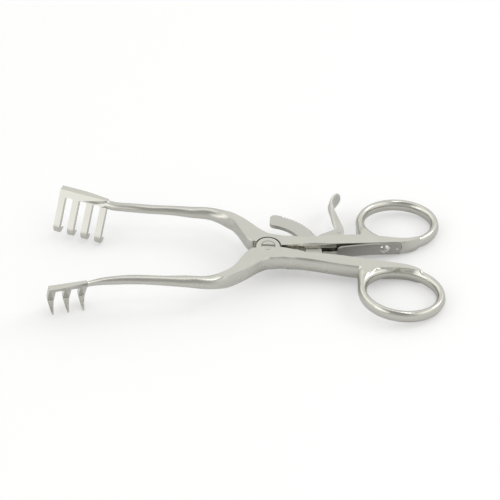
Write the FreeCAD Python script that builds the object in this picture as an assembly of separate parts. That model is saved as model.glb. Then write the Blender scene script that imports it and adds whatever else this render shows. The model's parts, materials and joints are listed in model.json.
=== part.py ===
import FreeCAD, Part
import os
from math import asin, atan2, cos, degrees, hypot, radians, sin, tan
from FreeCAD import Placement, Rotation, Vector

# Self retaining retractor, 3 by 4 prongs, 17 cm, in stainless steel.
# Sizes are millimetres and angles are degrees.
# It is drawn lying flat: pivot at the origin, finger rings towards +X, the four-prong
# arm on the +Y side, the three-prong arm on the -Y side, ground faces square to Z.
# At the end every piece is put on its feet: prong tips and ring undersides on z = 0.

# Joint
HALF_THICK = 3.5            # half the ground thickness of joint and shanks
DISC_RADIUS = 5.2           # round lap of each arm about the pivot
DISC_GAP = 0.32             # between a lap and the recess of the other arm
DISC_CHAMFER = 0.3          # on the rim of each round lap
LAP_GAP = 0.04              # between the two laps
SCREW_HEAD_RADIUS = 3.0
SCREW_HEAD_DEEP = 1.5
SCREW_CHAMFER = 0.25
SCREW_RADIUS = 1.8
SCREW_SLOT_WIDE = 1.0
SCREW_SLOT_DEEP = 0.8
RUNNING_GAP = 0.04          # radial, round every pin that turns
SEAT_GAP = 0.03             # round a fixed head or plate in its seat

# Shanks, from the joint to the rings
SHANK_ANGLE = 6.8           # inner face of each shank from the X axis
SHANK_TOP_WIDE = 5.6        # width of the ground top face
SHANK_BULGE = 0.85          # how far the forged side stands out past the ground face
SIDE_RIDGE = 0.16           # slope of the forging ridge along the sides

# Jaws, from the joint to the combs
JAW_OUT = 22.4              # distance of the jaw bar from the X axis
JAW_LOW = 1.35              # height of the jaw bar's centre above the middle plane
JAW_RADIUS = 2.05           # thinnest part of the jaw bar
JAW_BEND_X = -24.5          # where the jaw bar bends in towards the joint
CROTCH_ANGLE = 161.0        # jaw side edge of each arm at the joint
NOTCH_Y = 2.3               # edge of the notch beside the round lap
SHANK_START = 12.0          # where the straight shank begins
JAW_END_RADIUS = 98.7       # from the pivot to the end of the four-prong comb

# Combs
BAR_ANGLE = 17.0            # comb bar from the X axis in the drawn position
BAR_CLOSED_Y = 4.1          # from the X axis to the middle of a bar with the jaws shut
BAR_TOP = 1.3               # middle of the comb plate at its upper end
BAR_TALL = 3.2
COMB_THICK = 2.3
COMB_LEAN = 33.5            # the combs lean in towards each other
NECK_LONG = 3.6             # from the last prong to the full jaw bar
TAPER_LONG = 11.0           # stretch of the bar that thins towards its root
TAPER_END = 0.58            # share of its thickness left there
PRONG_WIDE = 2.85
PRONG_PITCH = 6.6
PRONG_LONG = 16.1           # from the top of the bar to the knee
ROOT_FILLET = 0.5
HOOK_BEND = 4.4             # straight run of the plate that the hook's curve starts from
HOOK_DROP = 5.6             # from the knee down to the point
HOOK_OUT = 5.2              # from the knee out to the point
POINT_WIDE = 0.45

# Finger rings
RING_X = 56.7
RING_Y = 22.2
HOLE_LONG = 29.3
HOLE_WIDE = 23.0
BAND_WIDE = 3.8
BAND_TALL = 5.7

# Ratchet
RACK_OUTER = 23.2           # radius of the tooth tips about the pivot
RACK_INNER = 16.3
RACK_THICK = 1.85
RACK_TIP_ANGLE = 89.0       # end of the rack from the X axis
RACK_ROOT_ANGLE = -17.0     # buried end, in the three-prong arm
RACK_TIP_RADIUS = 2.2
TOOTH_ANGLE = 3.7           # one tooth, seen from the pivot
TOOTH_DEEP = 0.85
TOOTH_STEEP = 0.2           # share of a tooth taken by its steep side
TOOTH_FIRST = 9.1           # angle of a tooth point beside the four-prong arm
TOOTH_COUNT = 18
SLOT_GAP = 0.12             # above and below the rack in the four-prong arm
RIVET_RADIUS = 0.9
RIVET_ANGLES = (-10.5, -13.5)
RIVET_IN = 2.0              # from each edge of the rack to a rivet

# Release lever
LEVER_THICK = 1.9
LEVER_PIN_X = 31.8
LEVER_PIN_Y = 7.0
LEVER_PIN_RADIUS = 0.9
LEVER_EYE_RADIUS = 2.1
NOSE_ANGLE = 24.3           # where the nose meets the teeth, seen from the pivot
NOSE_CLEAR = 0.12           # nose to tooth tips while the lever is in its rest position
TAIL_CLEAR = 0.05           # tail to leaf spring at rest
NOSE_THICK = 1.8
TAIL_LONG = 4.6             # from the pin to the end of the tail
TAIL_LAND = 1.6             # flat of the tail under the spring
TAIL_THICK = 1.2
LEVER_SLOT_END = 1.4        # slot beyond the nose and the tail
STEM_ROOT_Y = 15.6          # where the strap leaves the plate
STEM_SHIFT = 1.1            # from the pin to the ring side of the strap
STEM_HALF = 2.05            # half the width of the strap there
STEM_BOW = 1.4              # how far the strap bows away from the ring
PADDLE_X = 29.1
PADDLE_Y = 35.8
PADDLE_ANGLE = 47.0         # face of the thumb pad from the X axis
PADDLE_HALF_LONG = 3.4
PADDLE_HALF_TALL = 4.3
PADDLE_HALF_THICK = 1.2

# Leaf spring
SPRING_THICK = 0.8
SPRING_TALL = 6.0
SPRING_TIP_ROUND = 2.0      # radius of the corners at the free end
SPRING_SCREW_X = 50.5
SPRING_PEG_X = 56.0         # peg that keeps the spring from turning on its screw
SPRING_PEG_RADIUS = 0.65
SPRING_PEG_LONG = 2.2       # from the face of the shank inwards
SPRING_END = 57.6
SPRING_FLAT_X = 46.0        # the spring lies flat on the shank from here to its end
SPRING_TIP_X = 29.6
SPRING_STAND_OFF = 1.6      # gap to the shank at the free end
SPRING_SCREW_RADIUS = 1.0
SPRING_SCREW_LONG = 3.2
SPRING_HEAD_RADIUS = 2.4
SPRING_HEAD_TALL = 1.2
SPRING_SLOT_WIDE = 0.7
SPRING_SLOT_TURN = 62.0

UP = Vector(0, 0, 1)
BIG = 200.0
ROUND = 0.5523              # handle length that makes a Bezier quarter circle


def polar(radius, angle, z=0.0):
    return Vector(radius * cos(radians(angle)), radius * sin(radians(angle)), z)


def section(x, y, z, heading, half_wide, half_tall, lean=0.0, fullness=ROUND):
    """Oval outline square to its heading, with a faint forging ridge on each side."""
    place = Placement(Vector(x, y, z), Rotation(UP, heading) * Rotation(Vector(1, 0, 0), -lean))
    edges = []
    for side_y, side_z in ((1, 1), (1, -1), (-1, -1), (-1, 1)):
        top = Vector(0, 0, side_z * half_tall)
        side = Vector(0, side_y * half_wide, 0)
        handle_top = Vector(0, side_y * half_wide * fullness, side_z * half_tall)
        handle_side = Vector(0, side_y * (half_wide - SIDE_RIDGE * half_tall * fullness),
                             side_z * half_tall * fullness)
        poles = [top, handle_top, handle_side, side]
        if side_y != side_z:
            poles.reverse()
        curve = Part.BezierCurve()
        curve.setPoles([place.multVec(pole) for pole in poles])
        edges.append(curve.toShape())
    return Part.Wire(edges)


def loft(sections):
    return Part.makeLoft([section(*values) for values in sections], True, False)


def prism(points, z_low, z_high):
    """Upright solid over a closed outline of (x, y) points."""
    corners = [Vector(x, y, z_low) for x, y in points]
    face = Part.Face(Part.makePolygon(corners + corners[:1]))
    return face.extrude(Vector(0, 0, z_high - z_low))


def upright(radius, x, y, z_low, z_high):
    return Part.makeCylinder(radius, z_high - z_low, Vector(x, y, z_low))


def sector(r_inner, r_outer, angle_low, angle_high, half_thick):
    """Flat arc-shaped plate about the pivot."""
    sweep = angle_high - angle_low
    plate = Part.makeCylinder(r_outer, 2 * half_thick, Vector(0, 0, -half_thick), UP, sweep)
    plate = plate.cut(upright(r_inner, 0, 0, -half_thick, half_thick))
    return plate.rotate(Vector(), UP, angle_low)


def slab(half_thick):
    return Part.makeBox(2 * BIG, 2 * BIG, 2 * half_thick, Vector(-BIG, -BIG, -half_thick))


# Comb directions: along the bar to its free end, inwards, and down the leaning plate
BAR_OUT = Vector(-cos(radians(BAR_ANGLE)), sin(radians(BAR_ANGLE)), 0)
BAR_IN = Vector(-sin(radians(BAR_ANGLE)), -cos(radians(BAR_ANGLE)), 0)
PLATE_DOWN = BAR_IN * sin(radians(COMB_LEAN)) - UP * cos(radians(COMB_LEAN))
PLATE_OUT = (BAR_IN * -cos(radians(COMB_LEAN))) - UP * sin(radians(COMB_LEAN))


def bar_point(from_end, down=0.0):
    """Point on the middle plane of the comb plate."""
    end = polar(JAW_END_RADIUS, 180 - BAR_ANGLE, BAR_TOP)
    end += BAR_IN * -BAR_CLOSED_Y
    return end - BAR_OUT * from_end + PLATE_DOWN * down


def comb_plate(prongs, first):
    """Bar and straight prongs, cut from one leaning plate with a level top."""
    span = (prongs - 1) * PRONG_PITCH + PRONG_WIDE
    mitre = COMB_THICK * tan(radians(COMB_LEAN))
    level = BAR_TOP + COMB_THICK / 2 * sin(radians(COMB_LEAN))
    plate = plate_block(first, first + span, -mitre, BAR_TALL)
    plate = plate.cut(Part.makeBox(2 * BIG, 2 * BIG, BIG, Vector(-BIG, -BIG, level)))
    plate = plate.cut(back_taper(first + span))
    for number in range(prongs):
        start = first + number * PRONG_PITCH
        plate = plate.fuse(plate_block(start, start + PRONG_WIDE, BAR_TALL / 2, PRONG_LONG))
        for edge, side in ((start, -1), (start + PRONG_WIDE, 1)):
            outer_edge = number == 0 and side == -1
            if not outer_edge:
                plate = plate.fuse(root_fillet(edge, side))
    return plate.removeSplitter()


def back_taper(root):
    """Wedge that thins the back of the bar towards its root, where the jaw bar takes over."""
    back = BAR_IN * (-COMB_THICK / cos(radians(COMB_LEAN)))
    start = bar_point(root - TAPER_LONG) - PLATE_OUT * (COMB_THICK / 2) + back
    end = bar_point(root) - PLATE_OUT * (COMB_THICK / 2)
    outline = [start, start + back, end + 2 * back, end + back * TAPER_END]
    return prism([(point.x, point.y) for point in outline], -BIG, BIG)


def plate_block(from_end, to_end, down_from, down_to):
    corners = [bar_point(from_end, down_from), bar_point(to_end, down_from),
               bar_point(to_end, down_to), bar_point(from_end, down_to)]
    corners = [corner - PLATE_OUT * (COMB_THICK / 2) for corner in corners]
    return Part.Face(Part.makePolygon(corners + corners[:1])).extrude(PLATE_OUT * COMB_THICK)


def root_fillet(edge, side):
    """Rounded inner corner between the bar and one side of a prong."""
    corner = bar_point(edge, BAR_TALL)
    along = bar_point(edge + side * ROOT_FILLET, BAR_TALL)
    below = bar_point(edge, BAR_TALL + ROOT_FILLET)
    centre = bar_point(edge + side * ROOT_FILLET, BAR_TALL + ROOT_FILLET)
    middle = centre + (corner - centre).normalize() * ROOT_FILLET
    shift = PLATE_OUT * (-COMB_THICK / 2)
    corner, along, below, middle = [point + shift for point in (corner, along, below, middle)]
    outline = Part.Wire([Part.makeLine(corner, along), Part.Arc(along, middle, below).toShape(),
                         Part.makeLine(below, corner)])
    return Part.Face(outline).extrude(PLATE_OUT * COMB_THICK)


def hook(from_end):
    """Tapered point of one prong, turned outwards below the knee."""
    knee = bar_point(from_end + PRONG_WIDE / 2, PRONG_LONG)
    point = knee - UP * HOOK_DROP - BAR_IN * HOOK_OUT
    bend = knee + PLATE_DOWN * HOOK_BEND
    path = Part.BezierCurve()
    path.setPoles([knee, bend, point])
    wires = []
    for share, size in ((0.0, 1.0), (0.35, 0.9), (0.7, 0.6), (1.0, POINT_WIDE / PRONG_WIDE)):
        centre = path.value(share)
        down = path.tangent(share)[0]
        out = BAR_OUT.cross(down).normalize()
        if out.dot(PLATE_OUT) < 0:
            out = out * -1
        half_wide = BAR_OUT * (PRONG_WIDE / 2 * size)
        half_thick = out * (COMB_THICK / 2 * size)
        corners = [centre + half_wide + half_thick, centre - half_wide + half_thick,
                   centre - half_wide - half_thick, centre + half_wide - half_thick]
        wires.append(Part.makePolygon(corners + corners[:1]))
    return Part.makeLoft(wires, True, False)


def comb(prongs, first):
    solid = comb_plate(prongs, first)
    for number in range(prongs):
        solid = solid.fuse(hook(first + number * PRONG_PITCH))
    return solid


def ground(x, y, heading, top_half):
    """Oval whose sides stand out past a ground top face that is 2 * top_half wide."""
    share = top_half / (top_half + SHANK_BULGE)
    fullness = (share - 0.5) / 0.375
    return (x, y, 0, heading, top_half + SHANK_BULGE, HALF_THICK / share, 0, fullness)


def shank_station(x, top_wide=SHANK_TOP_WIDE):
    """Oval of the shank whose ground face starts at the flat inner side."""
    inner_y = x * tan(radians(SHANK_ANGLE))
    return ground(x, inner_y + top_wide / 2, SHANK_ANGLE, top_wide / 2)


def jaw_station(share, swing, fall, heading, wider, taller, lean=0.0):
    """Oval of the straight part of the jaw bar, share of the way from its bend to the comb.

    Swing and fall are the shares of the way out and down to the comb.
    """
    neck = comb_neck()
    return (JAW_BEND_X + share * (neck.x - JAW_BEND_X), JAW_OUT + swing * (neck.y - JAW_OUT),
            JAW_LOW + fall * (neck.z - JAW_LOW), heading, JAW_RADIUS + wider, JAW_RADIUS + taller, lean)


def comb_neck():
    """Where the jaw bar meets the four-prong comb."""
    return bar_point(3 * PRONG_PITCH + PRONG_WIDE + NECK_LONG, BAR_TALL / 2)


def jaw_bar():
    """Forged bar from inside the comb to the start of the shank."""
    inside = bar_point(2 * PRONG_PITCH + PRONG_WIDE, BAR_TALL / 2)
    root = bar_point(3 * PRONG_PITCH + PRONG_WIDE - 0.4, BAR_TALL / 2)
    neck = comb_neck()
    stations = [
        (inside.x, inside.y, inside.z, -BAR_ANGLE, 0.7, 1.2, COMB_LEAN),
        (root.x, root.y, root.z, -BAR_ANGLE, COMB_THICK / 1.8, 1.85, COMB_LEAN),
        (neck.x, neck.y, neck.z, -BAR_ANGLE, 1.6, 1.95, COMB_LEAN),
        jaw_station(0.89, 0.66, 0.80, -12, -0.2, -0.05, COMB_LEAN / 2),
        jaw_station(0.77, 0.36, 0.60, -6, -0.05, 0, COMB_LEAN / 6),
        jaw_station(0.58, 0.16, 0.50, -2, 0, 0),
        jaw_station(0.36, 0.09, 0.50, -1, 0.15, 0.25),
        jaw_station(0.15, -0.04, 0.58, -3, 0.45, 0.7),
        jaw_station(0.0, -0.28, 0.78, -13, 0.7, 0.95),
        (-19.5, JAW_OUT - 2.2, 0.0, -30, 3.0, 3.8),
        ground(-15.9, 18.2, -45, 1.9),
        ground(-12.0, 14.8, -57, 2.5),
        ground(-7.5, 9.2, -61, 3.7),
        ground(-4.2, 5.6, -50, 4.5),
        ground(0.3, 4.0, -26, 4.1),
        ground(4.4, 3.7, -8, 3.5),
        ground(8.2, 3.95, 3, 3.1),
        shank_station(SHANK_START),
    ]
    return loft(stations)


def shank_bar():
    """Straight shank from the joint into the near side of the ring."""
    end = ring_band_point(-62)
    near_ring = RING_X - SHANK_START
    stations = [shank_station(SHANK_START), shank_station(SHANK_START + 0.36 * near_ring),
                shank_station(SHANK_START + 0.63 * near_ring),
                shank_station(SHANK_START + 0.85 * near_ring, SHANK_TOP_WIDE * 0.75),
                shank_station(RING_X, BAND_WIDE - SHANK_BULGE),
                (end.x, end.y, 0, SHANK_ANGLE + 16, BAND_WIDE / 2, BAND_TALL / 2)]
    return loft(stations)


def arm_bar():
    return jaw_bar().fuse(shank_bar()).common(slab(HALF_THICK)).cut(ring_hole())


def ring_place(z=0.0):
    return Placement(Vector(RING_X, RING_Y, z), Rotation(UP, SHANK_ANGLE))


def ring_band_point(angle):
    """Point on the middle of the ring band, angle from its long axis."""
    long_half = (HOLE_LONG + BAND_WIDE) / 2
    wide_half = (HOLE_WIDE + BAND_WIDE) / 2
    return ring_place().multVec(Vector(long_half * cos(radians(angle)), wide_half * sin(radians(angle)), 0))


def oval_wire(long_half, wide_half, z):
    oval = Part.Ellipse(Vector(), long_half, wide_half).toShape()
    oval.Placement = ring_place(z)
    return Part.Wire([oval])


def ring_hole():
    hole = Part.Face(oval_wire(HOLE_LONG / 2, HOLE_WIDE / 2, -2 * HALF_THICK))
    return hole.extrude(Vector(0, 0, 4 * HALF_THICK))


def finger_ring():
    path = oval_wire((HOLE_LONG + BAND_WIDE) / 2, (HOLE_WIDE + BAND_WIDE) / 2, 0)
    start = ring_band_point(0)
    outline = section(start.x, start.y, 0, SHANK_ANGLE + 90, BAND_WIDE / 2, BAND_TALL / 2)
    return path.makePipeShell([outline], True, True)


def ring_post():
    """Thickened corner where the ring leaves the outer side of the shank."""
    left = ring_band_point(180)
    wall_x = left.x - BAND_WIDE / 2
    shank_y = wall_x * tan(radians(SHANK_ANGLE)) + SHANK_TOP_WIDE / 2
    stations = []
    for share, half_wide in ((0.0, 5.0), (0.3, 4.2), (0.62, 2.8), (1.0, BAND_WIDE / 2)):
        y = shank_y + share * (left.y - shank_y)
        half_tall = BAND_TALL / 2 + (1 - share) ** 2 * 3.4
        stations.append((wall_x + half_wide, y, 0, 90, half_wide, half_tall))
    return loft(stations).common(slab(HALF_THICK)).cut(ring_hole())


def arm_blank(prongs, first):
    return arm_bar().fuse([finger_ring(), ring_post(), comb(prongs, first)])


def lap_cuts(arm, side, layer):
    """Cut the joint of one arm: side is +1 or -1 in Y, layer +1 or -1 holds its round lap."""
    recess_low, recess_high = sorted((layer * LAP_GAP / 2, -layer * 2 * HALF_THICK))
    notch_low, notch_high = sorted((0, -layer * 2 * HALF_THICK))
    crotch = polar(4 * HALF_THICK, CROTCH_ANGLE)
    inner = polar(BIG, SHANK_ANGLE)
    beyond = [(0, 0), (inner.x, side * inner.y), (inner.x, -side * BIG), (crotch.x, -side * BIG),
              (crotch.x, side * crotch.y)]
    notch = [(0, 0), (0, side * NOTCH_Y), (-2 * DISC_RADIUS, side * NOTCH_Y), (-2 * DISC_RADIUS, 0)]
    arm = arm.cut(prism(beyond, -BIG, BIG))
    arm = arm.cut(prism(notch, notch_low, notch_high))
    arm = arm.cut(upright(DISC_RADIUS + DISC_GAP, 0, 0, recess_low, recess_high))
    rim = layer * (HALF_THICK - DISC_CHAMFER)
    lap_low, lap_high = sorted((layer * LAP_GAP / 2, rim))
    lap = upright(DISC_RADIUS, 0, 0, lap_low, lap_high)
    edge = Part.makeCone(DISC_RADIUS, DISC_RADIUS - DISC_CHAMFER, DISC_CHAMFER, Vector(0, 0, rim), UP * layer)
    return arm.fuse([lap, edge])


def tooth_angle(number):
    return TOOTH_FIRST + number * TOOTH_ANGLE


def rack_points():
    """Toothed edge as points, from the joint side to the tip side."""
    points = []
    for number in range(TOOTH_COUNT):
        point = tooth_angle(number)
        root = point + TOOTH_ANGLE * (1 - TOOTH_STEEP)
        points.append(polar(RACK_OUTER, point))
        points.append(polar(RACK_OUTER - TOOTH_DEEP, root))
    points.append(polar(RACK_OUTER, tooth_angle(TOOTH_COUNT)))
    return points


def ratchet_rack():
    half = RACK_THICK / 2
    rack = sector(RACK_INNER, RACK_OUTER, RACK_ROOT_ANGLE, RACK_TIP_ANGLE, half)
    teeth = [(point.x, point.y) for point in rack_points()]
    far = [polar(RACK_OUTER + 3, tooth_angle(TOOTH_COUNT)), polar(RACK_OUTER + 3, (tooth_angle(0)
           + tooth_angle(TOOTH_COUNT)) / 2), polar(RACK_OUTER + 3, tooth_angle(0))]
    rack = rack.cut(prism(teeth + [(point.x, point.y) for point in far], -2 * half, 2 * half))
    tips = [edge for edge in rack.Edges
            if abs(edge.Length - RACK_THICK) < 0.01
            and abs(degrees(atan2(edge.CenterOfMass.y, edge.CenterOfMass.x)) - RACK_TIP_ANGLE) < 0.5]
    rack = rack.makeFillet(RACK_TIP_RADIUS, tips)
    for x, y in rivet_places():
        rack = rack.cut(upright(RIVET_RADIUS, x, y, -BIG, BIG))
    return rack


def rivet_places():
    near = polar(RACK_INNER + RIVET_IN, RIVET_ANGLES[1])
    far = polar(RACK_OUTER - RIVET_IN, RIVET_ANGLES[0])
    return [(near.x, near.y), (far.x, far.y)]


def rack_rivet(number):
    x, y = rivet_places()[number]
    return upright(RIVET_RADIUS, x, y, -HALF_THICK, HALF_THICK)


def rack_slot(half_thick, angle_low, angle_high, gap):
    return sector(RACK_INNER - gap, RACK_OUTER + gap, angle_low, angle_high, half_thick)


def nose_tip():
    return polar(RACK_OUTER + NOSE_CLEAR, NOSE_ANGLE)


def lever_plate():
    """Flat part of the lever: nose, eye on the pin and tail under the spring."""
    half = LEVER_THICK / 2
    tip = nose_tip()
    tail = tail_end()
    right = strap_root_x() + STEM_HALF
    left = right - 2 * STEM_HALF
    outline = [
        (tip.x, tip.y),
        (tip.x + NOSE_THICK / 2, tip.y + NOSE_THICK),
        (left, STEM_ROOT_Y),
        (right, STEM_ROOT_Y),
        (right, LEVER_PIN_Y + 2 * LEVER_EYE_RADIUS),
        (LEVER_PIN_X + LEVER_EYE_RADIUS, LEVER_PIN_Y),
        (tail.x, tail.y + TAIL_THICK),
        (tail.x, tail.y),
        (tail.x - TAIL_LAND, tail.y),
        (LEVER_PIN_X, LEVER_PIN_Y - LEVER_EYE_RADIUS),
        (LEVER_PIN_X - LEVER_EYE_RADIUS, LEVER_PIN_Y),
        (tip.x + 1.6 * NOSE_THICK, tip.y - NOSE_THICK / 2),
    ]
    plate = prism(outline, -half, half)
    return plate.fuse(upright(LEVER_EYE_RADIUS, LEVER_PIN_X, LEVER_PIN_Y, -half, half))


def strap_root_x():
    return LEVER_PIN_X + STEM_SHIFT - STEM_HALF


def tail_end():
    x = LEVER_PIN_X + TAIL_LONG
    return Vector(x, x * tan(radians(SHANK_ANGLE)) - spring_gap(x) + TAIL_CLEAR, 0)


def lever_stem():
    """Curved strap that widens into the thumb paddle."""
    root_x = strap_root_x()
    stations = [(root_x, STEM_ROOT_Y - STEM_HALF, 0, 92, STEM_HALF * 0.85, LEVER_THICK / 1.6)]
    strap = ((0.14, 0.08, 101, 0.97, 0.1), (0.33, 0.62, 108, 0.9, 0.24), (0.51, 1.02, 102, 0.76, 0.33),
             (0.66, 1.4, 93, 0.66, 0.6), (0.79, 1.5, 80, 0.62, 0.9))
    for along, bow, heading, wide, tall in strap:
        x = root_x + along * (PADDLE_X - root_x) - STEM_BOW * bow
        y = STEM_ROOT_Y + along * (PADDLE_Y - STEM_ROOT_Y)
        stations.append((x, y, 0, heading, STEM_HALF * wide, LEVER_THICK / 2 + tall * 3))
    for share, thick, tall in ((0.0, 1.0, 1.0), (0.6, 0.9, 0.78), (0.95, 0.6, 0.36)):
        centre = Vector(PADDLE_X, PADDLE_Y, 0) + polar(PADDLE_HALF_LONG * share, PADDLE_ANGLE)
        stations.append((centre.x, centre.y, 0, PADDLE_ANGLE, PADDLE_HALF_THICK * thick,
                         PADDLE_HALF_TALL * tall))
    return loft(stations)


def release_lever():
    lever = lever_plate().fuse(lever_stem())
    return lever.cut(upright(LEVER_PIN_RADIUS + RUNNING_GAP, LEVER_PIN_X, LEVER_PIN_Y, -BIG, BIG))


def lever_pin():
    return upright(LEVER_PIN_RADIUS, LEVER_PIN_X, LEVER_PIN_Y, -HALF_THICK, HALF_THICK)


def lever_slot():
    """Milled slot in the shank that holds the lever, open on both sides."""
    half = LEVER_THICK / 2 + SLOT_GAP
    start = nose_tip().x - LEVER_SLOT_END
    long = tail_end().x + LEVER_SLOT_END - start
    return Part.makeBox(long, 4 * HALF_THICK, 2 * half, Vector(start, 0, -half))


def spring_gap(x):
    """Gap between shank and spring, which grows from the flat end to the free end."""
    share = max(0.0, (SPRING_FLAT_X - x) / (SPRING_FLAT_X - SPRING_TIP_X))
    return SPRING_STAND_OFF * share ** 1.5


def spring_face(x, off):
    """Point off the inner face of the shank, measured square to it."""
    face = Vector(x, x * tan(radians(SHANK_ANGLE)), 0)
    square = Vector(sin(radians(SHANK_ANGLE)), -cos(radians(SHANK_ANGLE)), 0)
    return face + square * off


def spring_curve(off):
    """Bent stretch of one side of the spring, from the flat stretch to the free end."""
    count = 6
    places = [SPRING_FLAT_X + (SPRING_TIP_X - SPRING_FLAT_X) * step / count for step in range(count + 1)]
    points = [spring_face(x, spring_gap(x) + off) for x in places]
    along = (points[0] - spring_face(SPRING_END, off)).normalize()
    curve = Part.BSplineCurve()
    curve.interpolate(Points=points, InitialTangent=along, FinalTangent=(points[-1] - points[-2]).normalize())
    return points, curve.toShape()


def leaf_spring():
    near_points, near = spring_curve(0.0)
    far_points, far = spring_curve(SPRING_THICK)
    near_end = spring_face(SPRING_END, 0)
    far_end = spring_face(SPRING_END, SPRING_THICK)
    outline = Part.Wire([Part.makeLine(near_end, near_points[0]), near,
                         Part.makeLine(near_points[-1], far_points[-1]), far,
                         Part.makeLine(far_points[0], far_end), Part.makeLine(far_end, near_end)])
    strip = Part.Face(outline).extrude(Vector(0, 0, SPRING_TALL))
    strip.translate(Vector(0, 0, -SPRING_TALL / 2))
    tip_middle = (near_points[-1] + far_points[-1]) / 2
    corners = [edge for edge in strip.Edges
               if abs(edge.Length - SPRING_THICK) < 0.01
               and hypot(edge.CenterOfMass.x - tip_middle.x, edge.CenterOfMass.y - tip_middle.y) < 0.01]
    strip = strip.makeFillet(SPRING_TIP_ROUND, corners)
    return strip.cut(spring_screw_bar(SPRING_SCREW_RADIUS)).cut(spring_peg())


def spring_screw_bar(radius):
    """Threaded part of the spring screw, from the head into the shank."""
    square = spring_face(0, 1) - spring_face(0, 0)
    head = spring_face(SPRING_SCREW_X, SPRING_THICK)
    return Part.makeCylinder(radius, SPRING_THICK + SPRING_SCREW_LONG, head, square * -1)


def spring_peg():
    """Locating peg, flush with the spring."""
    square = spring_face(0, 1) - spring_face(0, 0)
    head = spring_face(SPRING_PEG_X, SPRING_THICK)
    return Part.makeCylinder(SPRING_PEG_RADIUS, SPRING_THICK + SPRING_PEG_LONG, head, square * -1)


def spring_screw():
    square = spring_face(0, 1) - spring_face(0, 0)
    seat = spring_face(SPRING_SCREW_X, SPRING_THICK)
    dome_radius = (SPRING_HEAD_RADIUS ** 2 + SPRING_HEAD_TALL ** 2) / (2 * SPRING_HEAD_TALL)
    head = Part.makeSphere(dome_radius, seat + square * (SPRING_HEAD_TALL - dome_radius))
    head = head.common(Part.makeCylinder(SPRING_HEAD_RADIUS, 2 * SPRING_HEAD_TALL, seat, square))
    slot = Part.makeBox(2 * SPRING_HEAD_RADIUS, SPRING_HEAD_TALL, SPRING_SLOT_WIDE,
                        Vector(-SPRING_HEAD_RADIUS, -SPRING_HEAD_TALL * 1.45, -SPRING_SLOT_WIDE / 2))
    turn = Rotation(UP, SHANK_ANGLE) * Rotation(Vector(0, 1, 0), SPRING_SLOT_TURN)
    slot.Placement = Placement(seat, turn) * slot.Placement
    return head.cut(slot).fuse(spring_screw_bar(SPRING_SCREW_RADIUS))


def joint_screw():
    rim = HALF_THICK - SCREW_CHAMFER
    screw = upright(SCREW_HEAD_RADIUS, 0, 0, HALF_THICK - SCREW_HEAD_DEEP, rim)
    screw = screw.fuse(Part.makeCone(SCREW_HEAD_RADIUS, SCREW_HEAD_RADIUS - SCREW_CHAMFER, SCREW_CHAMFER,
                                     Vector(0, 0, rim)))
    screw = screw.fuse(upright(SCREW_RADIUS, 0, 0, -HALF_THICK, HALF_THICK - SCREW_HEAD_DEEP))
    slot = Part.makeBox(2.1 * SCREW_HEAD_RADIUS, SCREW_SLOT_WIDE, SCREW_SLOT_DEEP,
                        Vector(-1.05 * SCREW_HEAD_RADIUS, -SCREW_SLOT_WIDE / 2, HALF_THICK - SCREW_SLOT_DEEP))
    return screw.cut(slot)


def three_prong_arm():
    arm = arm_blank(3, PRONG_PITCH / 2).mirror(Vector(), Vector(0, 1, 0))
    arm = lap_cuts(arm, -1, 1)
    arm = arm.cut(upright(SCREW_RADIUS, 0, 0, -BIG, BIG))
    arm = arm.cut(upright(SCREW_HEAD_RADIUS + SEAT_GAP, 0, 0, HALF_THICK - SCREW_HEAD_DEEP, BIG))
    arm = arm.cut(rack_slot(RACK_THICK / 2, RACK_ROOT_ANGLE, 0, SEAT_GAP))
    for x, y in rivet_places():
        arm = arm.cut(upright(RIVET_RADIUS, x, y, -BIG, BIG))
    return arm


def four_prong_arm():
    arm = lap_cuts(arm_blank(4, 0), 1, -1)
    arm = arm.cut(upright(SCREW_RADIUS + RUNNING_GAP, 0, 0, -BIG, BIG))
    arm = arm.cut(rack_slot(RACK_THICK / 2 + SLOT_GAP, 0, 90, 2 * SLOT_GAP))
    arm = arm.cut(lever_slot())
    arm = arm.cut(upright(LEVER_PIN_RADIUS, LEVER_PIN_X, LEVER_PIN_Y, -BIG, BIG))
    return arm.cut(spring_screw_bar(SPRING_SCREW_RADIUS)).cut(spring_peg())


def stance():
    """Pitch that puts prong tips and ring undersides on the ground."""
    tip = bar_point(3 * PRONG_PITCH + PRONG_WIDE / 2, PRONG_LONG) - UP * HOOK_DROP - BAR_IN * HOOK_OUT
    ring = ring_band_point(0)
    drop = -BAND_TALL / 2 - tip.z
    return degrees(asin(drop / hypot(ring.x - tip.x, drop)))


PARTS = {
    "three_prong_arm": three_prong_arm,
    "four_prong_arm": four_prong_arm,
    "joint_screw": joint_screw,
    "ratchet_rack": ratchet_rack,
    "rack_rivet_near": lambda: rack_rivet(0),
    "rack_rivet_far": lambda: rack_rivet(1),
    "release_lever": release_lever,
    "lever_pin": lever_pin,
    "leaf_spring": leaf_spring,
    "spring_screw": spring_screw,
    "spring_peg": spring_peg,
}


def main():
    os.makedirs("parts", exist_ok=True)
    shapes = {name: make() for name, make in PARTS.items()}
    turn = Placement(Vector(), Rotation(Vector(0, 1, 0), stance()))
    whole = Part.makeCompound(list(shapes.values())).copy()
    whole.Placement = turn
    box = whole.optimalBoundingBox(False)
    lift = Vector(-(box.XMin + box.XMax) / 2, -(box.YMin + box.YMax) / 2, -box.ZMin)
    stand = Placement(lift, Rotation()) * turn
    for name, shape in shapes.items():
        placed = shape.copy()
        placed.Placement = stand * placed.Placement
        solids = placed.Solids
        print(name, "solids", len(solids), "valid", placed.isValid(), "mm3", round(placed.Volume, 2))
        placed.exportStep("parts/" + name + ".step")
    print("pitch", round(stance(), 4), "lift", [round(value, 4) for value in lift],
          "box", round(box.XLength, 2), round(box.YLength, 2), round(box.ZLength, 2))


main()
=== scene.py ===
"""Looks of the self retaining retractor: satin steel arms on a white studio table.

Everything is in metres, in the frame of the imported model.
"""

import json
import math

import bmesh
import bpy
from mathutils import Matrix, Vector


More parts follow.
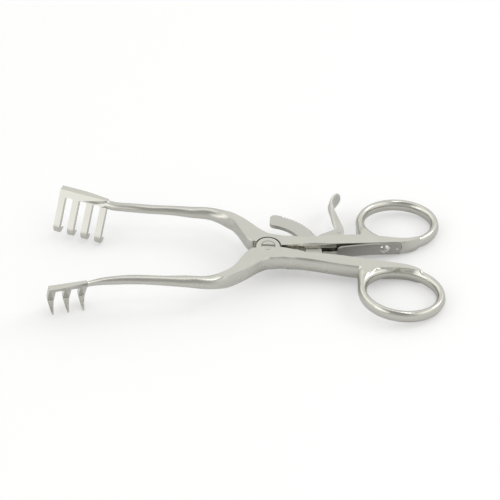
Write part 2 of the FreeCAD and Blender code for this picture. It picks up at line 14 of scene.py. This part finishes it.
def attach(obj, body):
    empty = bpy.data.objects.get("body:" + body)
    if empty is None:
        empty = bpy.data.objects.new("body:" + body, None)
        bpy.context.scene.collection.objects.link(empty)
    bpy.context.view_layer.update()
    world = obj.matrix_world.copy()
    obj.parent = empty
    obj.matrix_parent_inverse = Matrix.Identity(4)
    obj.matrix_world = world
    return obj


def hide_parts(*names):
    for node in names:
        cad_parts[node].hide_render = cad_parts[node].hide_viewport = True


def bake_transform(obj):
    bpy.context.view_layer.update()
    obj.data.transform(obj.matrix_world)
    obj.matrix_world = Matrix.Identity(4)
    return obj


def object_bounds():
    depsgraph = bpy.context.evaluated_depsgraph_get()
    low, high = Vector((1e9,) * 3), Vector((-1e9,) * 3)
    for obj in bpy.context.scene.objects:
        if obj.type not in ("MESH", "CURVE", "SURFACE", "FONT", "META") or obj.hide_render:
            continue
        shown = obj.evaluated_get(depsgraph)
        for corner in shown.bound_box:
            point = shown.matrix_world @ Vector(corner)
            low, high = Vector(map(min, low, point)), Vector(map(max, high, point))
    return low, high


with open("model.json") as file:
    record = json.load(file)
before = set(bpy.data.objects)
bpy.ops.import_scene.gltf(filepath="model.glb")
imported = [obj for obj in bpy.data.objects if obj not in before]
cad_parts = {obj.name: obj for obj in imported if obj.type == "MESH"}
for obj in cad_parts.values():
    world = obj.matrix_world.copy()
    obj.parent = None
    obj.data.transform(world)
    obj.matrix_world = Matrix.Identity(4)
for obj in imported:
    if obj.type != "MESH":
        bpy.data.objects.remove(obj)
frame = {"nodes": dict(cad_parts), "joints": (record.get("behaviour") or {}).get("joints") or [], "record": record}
cad_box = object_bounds()

# Camera: lens, directions in the flat of the arms, and place from the pivot
FRAME_PIXELS = 500
FOCAL_PIXELS = 1440
SENSOR = 0.036
NEAREST = 0.01
FARTHEST = 50
CAMERA_RIGHT = Vector((0.99852981, 0.03329004, 0.04277841))
CAMERA_UP = Vector((-0.0540655, 0.66831331, 0.74191256))
CAMERA_FORWARD = Vector((0.00389108, 0.74313464, -0.66913061))
CAMERA_FROM_PIVOT = Vector((-0.010135, -0.460856, 0.415123))

# Table: a white sheet, with a glow to the lens and a weaker one in the steel
TABLE_SIZE = 6.0
PAPER = (0.70, 0.70, 0.71)
TABLE_GLOW = 0.30
TABLE_MIRRORED = 0.04

# Room: shades by height from the horizon (0) to straight up (1), a dark patch where the
# camera stands and brighter walls to the sides. A reach is where a change starts and ends.
ROOM_LEVEL = 0.92
ROOM_SHADES = (
    (0.0, (0.62, 0.62, 0.60)),
    (0.25, (0.70, 0.70, 0.6825)),
    (0.50, (1.0, 1.0, 0.975)),
    (0.78, (1.0, 1.0, 0.975)),
    (1.0, (0.66, 0.66, 0.64)),
)
DARK_SIDE = (-0.02, -0.74, 0.67)
DARK_REACH = (0.80, 0.98)
DARK_LEVEL = 0.42
WALL_REACH = (0.40, 0.75)
WALL_LEVEL = 1.45

# Softboxes: name, place, width and length, watts
SOFTBOXES = (
    ("overhead", (0.05, 0.15, 1.0), (0.6, 0.4), 0.5),
    ("left", (-0.60, -0.74, 0.40), (0.6, 0.5), 0.42),
    ("right", (0.85, 0.25, 0.65), (0.35, 0.35), 1.0),
    ("window", (0.35, -0.30, 1.05), (0.16, 0.30), 0.5),
)

# Where the finish of the arms changes: height over the pivot, and distance from it towards the rings
GROUND_REACH = (0.00338, 0.00346)
RING_REACH = (0.036, 0.044)

# Finishes: linear colours, roughnesses, the size and depth of grain, and a faint mottle
SATIN = (0.665, 0.655, 0.605)
GROUND = (0.62, 0.615, 0.575)
POLISHED = (0.70, 0.685, 0.65)
STRIP = (0.44, 0.43, 0.405)
SIDE_ROUGH = 0.26
RING_ROUGH = 0.11
GROUND_ROUGH = 0.36
SATIN_GRAIN = 0.00035
SATIN_DEPTH = 0.000005
WAVE_SIZE = 0.009
WAVE_SHARE = 1.5
MOTTLE = 0.02
MOTTLE_SIZE = 0.011
MOTTLE_DETAIL = 4.0
MOTTLE_REACH = (0.3, 0.7)
ROUGH_DRIFT = 0.03
NOISE_ROUGHNESS = 0.6

# Meshes: vertices closer than WELD are one, edges sharper than CREASE stay sharp, and a face
# is ground flat when its normal agrees with the hinge to FLAT
WELD = 1e-6
CREASE = math.radians(24)
FLAT = 0.99999


def hinge(name):
    """A joint of the frame by its name."""
    return next(joint for joint in frame["joints"] if joint["name"] == name)


def pivot():
    """The middle of the lap joint."""
    return Vector(hinge("arm_hinge")["pos_m"])


def pivot_axis():
    """The direction of the joint screw."""
    return Vector(hinge("arm_hinge")["axis"])


def lying_turn():
    """The turn from the flat of the arms to how they lie on the table."""
    axis = pivot_axis()
    return Matrix.Rotation(math.atan2(axis.x, axis.z), 3, "Y")


def make_camera():
    """The lens of the photograph, tied to the pivot."""
    turn = lying_turn()
    data = bpy.data.cameras.new("camera")
    data.sensor_width = SENSOR * 1000
    data.lens = FOCAL_PIXELS / FRAME_PIXELS * SENSOR * 1000
    data.clip_start = NEAREST
    data.clip_end = FARTHEST
    camera = bpy.data.objects.new("camera", data)
    columns = Matrix((turn @ CAMERA_RIGHT, turn @ CAMERA_UP, -(turn @ CAMERA_FORWARD))).transposed()
    camera.matrix_world = Matrix.Translation(pivot() + turn @ CAMERA_FROM_PIVOT) @ columns.to_4x4()
    bpy.context.scene.collection.objects.link(camera)
    bpy.context.scene.camera = camera


class Tree:
    """Short words for building a node tree."""

    def __init__(self, tree):
        self.tree = tree
        self.tree.nodes.clear()

    def node(self, kind, **settings):
        """A new node with its settings."""
        made = self.tree.nodes.new(kind)
        for key, value in settings.items():
            setattr(made, key, value)
        return made

    def link(self, source, target):
        """A link from one socket to another."""
        self.tree.links.new(source, target)

    def put(self, node, **values):
        """Sets unlinked sockets by name, with underscores for spaces."""
        for key, value in values.items():
            node.inputs[key.replace("_", " ")].default_value = value
        return node

    def work_out(self, operation, *values):
        """A calculation with sockets or numbers."""
        node = self.node("ShaderNodeMath", operation=operation)
        for socket, value in zip(node.inputs, values):
            if isinstance(value, (int, float)):
                socket.default_value = value
            else:
                self.link(value, socket)
        return node.outputs["Value"]

    def step(self, value, reach, before, after):
        """A smooth step from one level to another, where a value goes through a reach."""
        step = self.node("ShaderNodeMapRange", interpolation_type="SMOOTHSTEP")
        self.put(step, From_Min=reach[0], From_Max=reach[1], To_Min=before, To_Max=after)
        self.link(value, step.inputs["Value"])
        return step.outputs["Result"]

    def along(self, place, direction):
        """How far a place lies along a direction."""
        dot = self.node("ShaderNodeVectorMath", operation="DOT_PRODUCT")
        self.link(place, dot.inputs[0])
        dot.inputs[1].default_value = direction
        return dot.outputs["Value"]


class Steel:
    """A steel finish whose height, tone and roughness are mixed on Object coordinates."""

    def __init__(self, name, colour):
        self.material = bpy.data.materials.new(name)
        self.material.use_nodes = True
        self.tree = Tree(self.material.node_tree)
        self.place = self.tree.node("ShaderNodeTexCoord").outputs["Object"]
        self.colour = colour

    def noise(self, size, detail, stretch=(1, 1, 1)):
        """Soft noise with spots of a size."""
        mapping = self.tree.put(self.tree.node("ShaderNodeMapping"), Scale=stretch)
        self.tree.link(self.place, mapping.inputs["Vector"])
        grain = self.tree.node("ShaderNodeTexNoise")
        self.tree.put(grain, Scale=1 / size, Detail=detail, Roughness=NOISE_ROUGHNESS)
        self.tree.link(mapping.outputs["Vector"], grain.inputs["Vector"])
        return grain.outputs["Fac"]

    def from_pivot(self, direction):
        """Distance from the pivot along a direction."""
        shift = self.tree.node("ShaderNodeVectorMath", operation="SUBTRACT")
        self.tree.link(self.place, shift.inputs[0])
        shift.inputs[1].default_value = pivot()
        return self.tree.along(shift.outputs["Vector"], direction)

    def shade(self, strength):
        """The colour, paler or darker by a share of itself."""
        return (*[min(1, part * (1 + strength)) for part in self.colour], 1)

    def finish(self, roughness, height, depth):
        """The shader, from a roughness and a height."""
        broad = self.noise(MOTTLE_SIZE, MOTTLE_DETAIL)
        tone = self.tree.node("ShaderNodeMix", data_type="RGBA")
        tone.inputs["A"].default_value = self.shade(-MOTTLE)
        tone.inputs["B"].default_value = self.shade(MOTTLE)
        self.tree.link(self.tree.step(broad, MOTTLE_REACH, 0, 1), tone.inputs["Factor"])
        bump = self.tree.put(self.tree.node("ShaderNodeBump"), Strength=1.0, Distance=depth)
        self.tree.link(height, bump.inputs["Height"])
        drift = self.tree.step(broad, MOTTLE_REACH, -ROUGH_DRIFT, ROUGH_DRIFT)
        shader = self.tree.put(self.tree.node("ShaderNodeBsdfPrincipled"), Metallic=1.0)
        self.tree.link(tone.outputs["Result"], shader.inputs["Base Color"])
        self.tree.link(self.tree.work_out("ADD", roughness, drift), shader.inputs["Roughness"])
        self.tree.link(bump.outputs["Normal"], shader.inputs["Normal"])
        output = self.tree.node("ShaderNodeOutputMaterial")
        self.tree.link(shader.outputs["BSDF"], output.inputs["Surface"])
        return self.material


def forged_steel():
    """The arms: satin sides, polished rings and matte ground faces."""
    steel = Steel("satin_steel", SATIN)
    tree = steel.tree
    top = tree.step(steel.from_pivot(pivot_axis()), GROUND_REACH, 0, 1)
    rings = tree.step(steel.from_pivot((1, 0, 0)), RING_REACH, 0, 1)
    smoother = tree.work_out("MULTIPLY", rings, SIDE_ROUGH - RING_ROUGH)
    side = tree.work_out("SUBTRACT", SIDE_ROUGH, smoother)
    rougher = tree.work_out("MULTIPLY", top, GROUND_ROUGH - SIDE_ROUGH)
    rough = tree.work_out("ADD", side, rougher)
    waves = tree.work_out("MULTIPLY", steel.noise(WAVE_SIZE, 1.0), WAVE_SHARE)
    height = tree.work_out("ADD", steel.noise(SATIN_GRAIN, 0.0), waves)
    return steel.finish(rough, height, SATIN_DEPTH)


def plain_steel(name, colour, roughness, grain, depth, stretch=(1, 1, 1)):
    """A small piece of one finish, whose grain can be drawn out into strokes."""
    steel = Steel(name, colour)
    return steel.finish(roughness, steel.noise(grain, 3.0, stretch), depth)


def table_material():
    """White table that glows to the lens, and a little in the steel, and keeps its shadows."""
    material = bpy.data.materials.new("white_table")
    material.use_nodes = True
    tree = Tree(material.node_tree)
    paper = tree.put(tree.node("ShaderNodeBsdfDiffuse"), Color=(*PAPER, 1))
    glow = tree.put(tree.node("ShaderNodeEmission"), Color=(1, 1, 1, 1))
    rays = tree.node("ShaderNodeLightPath")
    mirrored = tree.work_out("MULTIPLY", rays.outputs["Is Glossy Ray"], TABLE_MIRRORED)
    level = tree.work_out("MULTIPLY_ADD", rays.outputs["Is Camera Ray"], TABLE_GLOW, mirrored)
    tree.link(level, glow.inputs["Strength"])
    both = tree.node("ShaderNodeAddShader")
    tree.link(paper.outputs["BSDF"], both.inputs[0])
    tree.link(glow.outputs["Emission"], both.inputs[1])
    output = tree.node("ShaderNodeOutputMaterial")
    tree.link(both.outputs["Shader"], output.inputs["Surface"])
    return material


def make_table():
    """One wide sheet at the height that the retractor lies on."""
    mesh = bpy.data.meshes.new("table")
    half = TABLE_SIZE / 2
    corners = [(-half, -half), (half, -half), (half, half), (-half, half)]
    mesh.from_pydata([(x, y, cad_box[0].z) for x, y in corners], [], [(0, 1, 2, 3)])
    mesh.materials.append(table_material())
    table = bpy.data.objects.new("table", mesh)
    bpy.context.scene.collection.objects.link(table)


def make_world():
    """Soft room around the table, plain white to the lens."""
    world = bpy.data.worlds.new("studio")
    bpy.context.scene.world = world
    world.use_nodes = True
    tree = Tree(world.node_tree)
    place = tree.node("ShaderNodeTexCoord").outputs["Generated"]
    split = tree.node("ShaderNodeSeparateXYZ")
    tree.link(place, split.inputs["Vector"])
    room = tree.node("ShaderNodeValToRGB")
    stops = room.color_ramp.elements
    for stop, (position, shade) in zip(stops, (ROOM_SHADES[0], ROOM_SHADES[-1])):
        stop.position = position
        stop.color = (*shade, 1)
    for position, shade in ROOM_SHADES[1:-1]:
        stops.new(position).color = (*shade, 1)
    tree.link(split.outputs["Z"], room.inputs["Fac"])

    patch = tree.step(tree.along(place, DARK_SIDE), DARK_REACH, 1.0, DARK_LEVEL)
    sideways = tree.work_out("ABSOLUTE", split.outputs["X"])
    walls = tree.step(sideways, WALL_REACH, 1.0, WALL_LEVEL)
    dimmed = tree.node("ShaderNodeVectorMath", operation="SCALE")
    tree.link(room.outputs["Color"], dimmed.inputs[0])
    tree.link(tree.work_out("MULTIPLY", patch, walls), dimmed.inputs["Scale"])
    sky = tree.put(tree.node("ShaderNodeBackground"), Strength=ROOM_LEVEL)
    tree.link(dimmed.outputs["Vector"], sky.inputs["Color"])
    white = tree.put(tree.node("ShaderNodeBackground"), Color=(1, 1, 1, 1))
    rays = tree.node("ShaderNodeLightPath")
    mix = tree.node("ShaderNodeMixShader")
    tree.link(rays.outputs["Is Camera Ray"], mix.inputs["Fac"])
    tree.link(sky.outputs["Background"], mix.inputs[1])
    tree.link(white.outputs["Background"], mix.inputs[2])
    output = tree.node("ShaderNodeOutputWorld")
    tree.link(mix.outputs["Shader"], output.inputs["Surface"])


def make_softbox(name, place, size, power):
    """An area lamp that looks at the joint."""
    data = bpy.data.lights.new(name, "AREA")
    data.shape = "RECTANGLE"
    data.size = size[0]
    data.size_y = size[1]
    data.energy = power
    lamp = bpy.data.objects.new(name, data)
    lamp.location = Vector(place)
    lamp.rotation_euler = (pivot() - lamp.location).to_track_quat("-Z", "Y").to_euler()
    bpy.context.scene.collection.objects.link(lamp)


def edge_of_flats(mesh):
    """Sharp edges round the faces that are ground square to the hinge."""
    axis = pivot_axis()
    seen = {}
    for face in mesh.polygons:
        for key in face.edge_keys:
            seen.setdefault(key, []).append(abs(face.normal.dot(axis)) > FLAT)
    sharp = mesh.attributes["sharp_edge"].data
    for edge in mesh.edges:
        sides = seen.get(edge.key, [])
        if len(sides) == 2 and sides[0] != sides[1]:
            sharp[edge.index].value = True


def body_of(node):
    """The body that carries a node."""
    bodies = frame["record"]["behaviour"]["bodies"]
    return next(name for name, nodes in bodies.items() if node in nodes)


def dressed(node, material):
    """A merged, smooth copy of a node that takes its place, with its creases kept."""
    mesh = bpy.data.meshes.new(node + "_steel")
    work = bmesh.new()
    work.from_mesh(frame["nodes"][node].data)
    bmesh.ops.remove_doubles(work, verts=work.verts, dist=WELD)
    bmesh.ops.dissolve_degenerate(work, dist=WELD, edges=work.edges)
    work.to_mesh(mesh)
    work.free()
    mesh.shade_smooth()
    mesh.set_sharp_from_angle(angle=CREASE)
    edge_of_flats(mesh)
    mesh.materials.clear()
    mesh.materials.append(material)
    piece = bpy.data.objects.new(node + "_steel", mesh)
    bpy.context.scene.collection.objects.link(piece)
    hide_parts(node)
    return piece


def dress_rigid(nodes, material):
    """Pieces of one finish that move with their bodies."""
    for node in nodes:
        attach(dressed(node, material), body_of(node))


make_camera()
make_world()
make_table()
for softbox in SOFTBOXES:
    make_softbox(*softbox)

satin = forged_steel()
ground = plain_steel("ground_steel", GROUND, roughness=GROUND_ROUGH, grain=0.0003, depth=0.000008)
screw = plain_steel("screw_steel", GROUND, roughness=0.28, grain=0.0003, depth=0.000006, stretch=(1, 0.1, 1))
polished = plain_steel("polished_steel", POLISHED, roughness=0.16, grain=0.0006, depth=0.000003)
strip = plain_steel("spring_strip", STRIP, roughness=0.30, grain=0.0003, depth=0.000008, stretch=(0.06, 1, 1))

dress_rigid(("three_prong_arm", "four_prong_arm", "rack_rivet_near", "rack_rivet_far", "lever_pin",
             "spring_peg"), satin)
dress_rigid(("ratchet_rack", "release_lever"), ground)
dress_rigid(("joint_screw",), screw)
dress_rigid(("spring_screw",), polished)
spring = dressed("leaf_spring", strip)
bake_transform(spring)

bpy.context.scene.view_settings.view_transform = "Standard"
